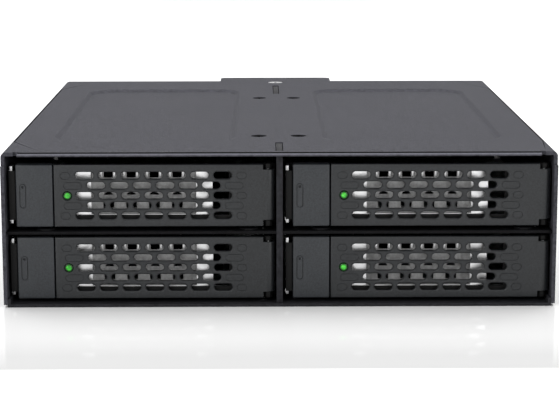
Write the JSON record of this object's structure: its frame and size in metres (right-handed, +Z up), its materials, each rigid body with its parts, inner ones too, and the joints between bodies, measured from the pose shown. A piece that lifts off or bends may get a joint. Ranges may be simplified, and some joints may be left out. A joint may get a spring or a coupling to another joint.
{
  "type": "hot swap drive cage",
  "caption": "Half-height bay cage of folded steel that holds small drives on slide-out trays, each with a vented lever, release button and status light, and a rear fan.",
  "frame": {"origin": "centre of the bounding box at the underside of the base pan", "axes": "+X to the right seen from the front, +Y towards the rear, +Z up"},
  "size_m": [0.146, 0.1756, 0.0413],
  "materials": {
    "black_steel": "fine-textured black powder coat",
    "zinc_sheet": "bare zinc-coated sheet",
    "grey_screen": "satin grey perforated sheet",
    "lever_plastic": "moulded, slightly blue dark grey",
    "button_plastic": "moulded, slightly blue dark grey",
    "frame_plastic": "moulded black",
    "green_lens": "lit green lens",
    "pin_steel": "plain steel pin",
    "spring_steel": "spring steel",
    "black_screw": "black oxide",
    "zinc_screw": "zinc plated",
    "circuit_board": "green solder mask",
    "socket_plastic": "black moulded connector",
    "fan_plastic": "black moulded fan"
  },
  "bodies": {
    "cage": {"backplane_board": "circuit_board", "base_pan": "black_steel", "board_screws": "zinc_screw", "centre_divider": "black_steel", "cover_screws": "black_screw", "fan_frame": "fan_plastic", "fan_screws": "black_screw", "left_inner_data_port": "socket_plastic", "left_outer_data_port": "socket_plastic", "left_power_port": "socket_plastic", "left_shelf": "black_steel", "lower_left_socket": "socket_plastic", "lower_right_socket": "socket_plastic", "rear_panel": "black_steel", "rear_screw": "black_screw", "right_inner_data_port": "socket_plastic", "right_outer_data_port": "socket_plastic", "right_power_port": "socket_plastic", "right_shelf": "black_steel", "top_cover": "black_steel", "upper_left_socket": "socket_plastic", "upper_right_socket": "socket_plastic"},
    "fan_rotor": {"fan_rotor": "fan_plastic"},
    "lower_left_tray": {"lower_left_tray": "zinc_sheet", "lower_left_frame": "frame_plastic", "lower_left_screen": "grey_screen", "lower_left_light": "green_lens", "lower_left_pin": "pin_steel", "lower_left_spring": "spring_steel"},
    "lower_left_lever": {"lower_left_lever": "lever_plastic"},
    "lower_left_button": {"lower_left_button": "button_plastic"},
    "lower_right_tray": {"lower_right_tray": "zinc_sheet", "lower_right_frame": "frame_plastic", "lower_right_screen": "grey_screen", "lower_right_light": "green_lens", "lower_right_pin": "pin_steel", "lower_right_spring": "spring_steel"},
    "lower_right_lever": {"lower_right_lever": "lever_plastic"},
    "lower_right_button": {"lower_right_button": "button_plastic"},
    "upper_left_tray": {"upper_left_tray": "zinc_sheet", "upper_left_frame": "frame_plastic", "upper_left_screen": "grey_screen", "upper_left_light": "green_lens", "upper_left_pin": "pin_steel", "upper_left_spring": "spring_steel"},
    "upper_left_lever": {"upper_left_lever": "lever_plastic"},
    "upper_left_button": {"upper_left_button": "button_plastic"},
    "upper_right_tray": {"upper_right_tray": "zinc_sheet", "upper_right_frame": "frame_plastic", "upper_right_screen": "grey_screen", "upper_right_light": "green_lens", "upper_right_pin": "pin_steel", "upper_right_spring": "spring_steel"},
    "upper_right_lever": {"upper_right_lever": "lever_plastic"},
    "upper_right_button": {"upper_right_button": "button_plastic"}
  },
  "joints": [
    {"name": "fan_spin", "type": "hinge", "parent": "cage", "child": "fan_rotor", "pos_m": [0, 0.08225, 0.0203], "axis": [0, 1, 0], "continuous": true},
    {"name": "lower_left_tray_slide", "type": "slide", "parent": "cage", "child": "lower_left_tray", "axis": [0, -1, 0], "range_m": [0, 0.112]},
    {"name": "lower_left_lever_hinge", "type": "hinge", "parent": "lower_left_tray", "child": "lower_left_lever", "pos_m": [-0.00305, -0.0839, 0.0019], "axis": [0, 0, 1], "range_deg": [0, 70]},
    {"name": "lower_left_button_press", "type": "slide", "parent": "lower_left_tray", "child": "lower_left_button", "axis": [0, 1, 0], "range_m": [0, 0.0015], "stiffness_N_per_m": 400, "deforming": ["lower_left_spring"]},
    {"name": "lower_right_tray_slide", "type": "slide", "parent": "cage", "child": "lower_right_tray", "axis": [0, -1, 0], "range_m": [0, 0.112]},
    {"name": "lower_right_lever_hinge", "type": "hinge", "parent": "lower_right_tray", "child": "lower_right_lever", "pos_m": [0.0698, -0.0839, 0.0019], "axis": [0, 0, 1], "range_deg": [0, 70]},
    {"name": "lower_right_button_press", "type": "slide", "parent": "lower_right_tray", "child": "lower_right_button", "axis": [0, 1, 0], "range_m": [0, 0.0015], "stiffness_N_per_m": 400, "deforming": ["lower_right_spring"]},
    {"name": "upper_left_tray_slide", "type": "slide", "parent": "cage", "child": "upper_left_tray", "axis": [0, -1, 0], "range_m": [0, 0.112]},
    {"name": "upper_left_lever_hinge", "type": "hinge", "parent": "upper_left_tray", "child": "upper_left_lever", "pos_m": [-0.00305, -0.0839, 0.0213], "axis": [0, 0, 1], "range_deg": [0, 70]},
    {"name": "upper_left_button_press", "type": "slide", "parent": "upper_left_tray", "child": "upper_left_button", "axis": [0, 1, 0], "range_m": [0, 0.0015], "stiffness_N_per_m": 400, "deforming": ["upper_left_spring"]},
    {"name": "upper_right_tray_slide", "type": "slide", "parent": "cage", "child": "upper_right_tray", "axis": [0, -1, 0], "range_m": [0, 0.112]},
    {"name": "upper_right_lever_hinge", "type": "hinge", "parent": "upper_right_tray", "child": "upper_right_lever", "pos_m": [0.0698, -0.0839, 0.0213], "axis": [0, 0, 1], "range_deg": [0, 70]},
    {"name": "upper_right_button_press", "type": "slide", "parent": "upper_right_tray", "child": "upper_right_button", "axis": [0, 1, 0], "range_m": [0, 0.0015], "stiffness_N_per_m": 400, "deforming": ["upper_right_spring"]}
  ]
}
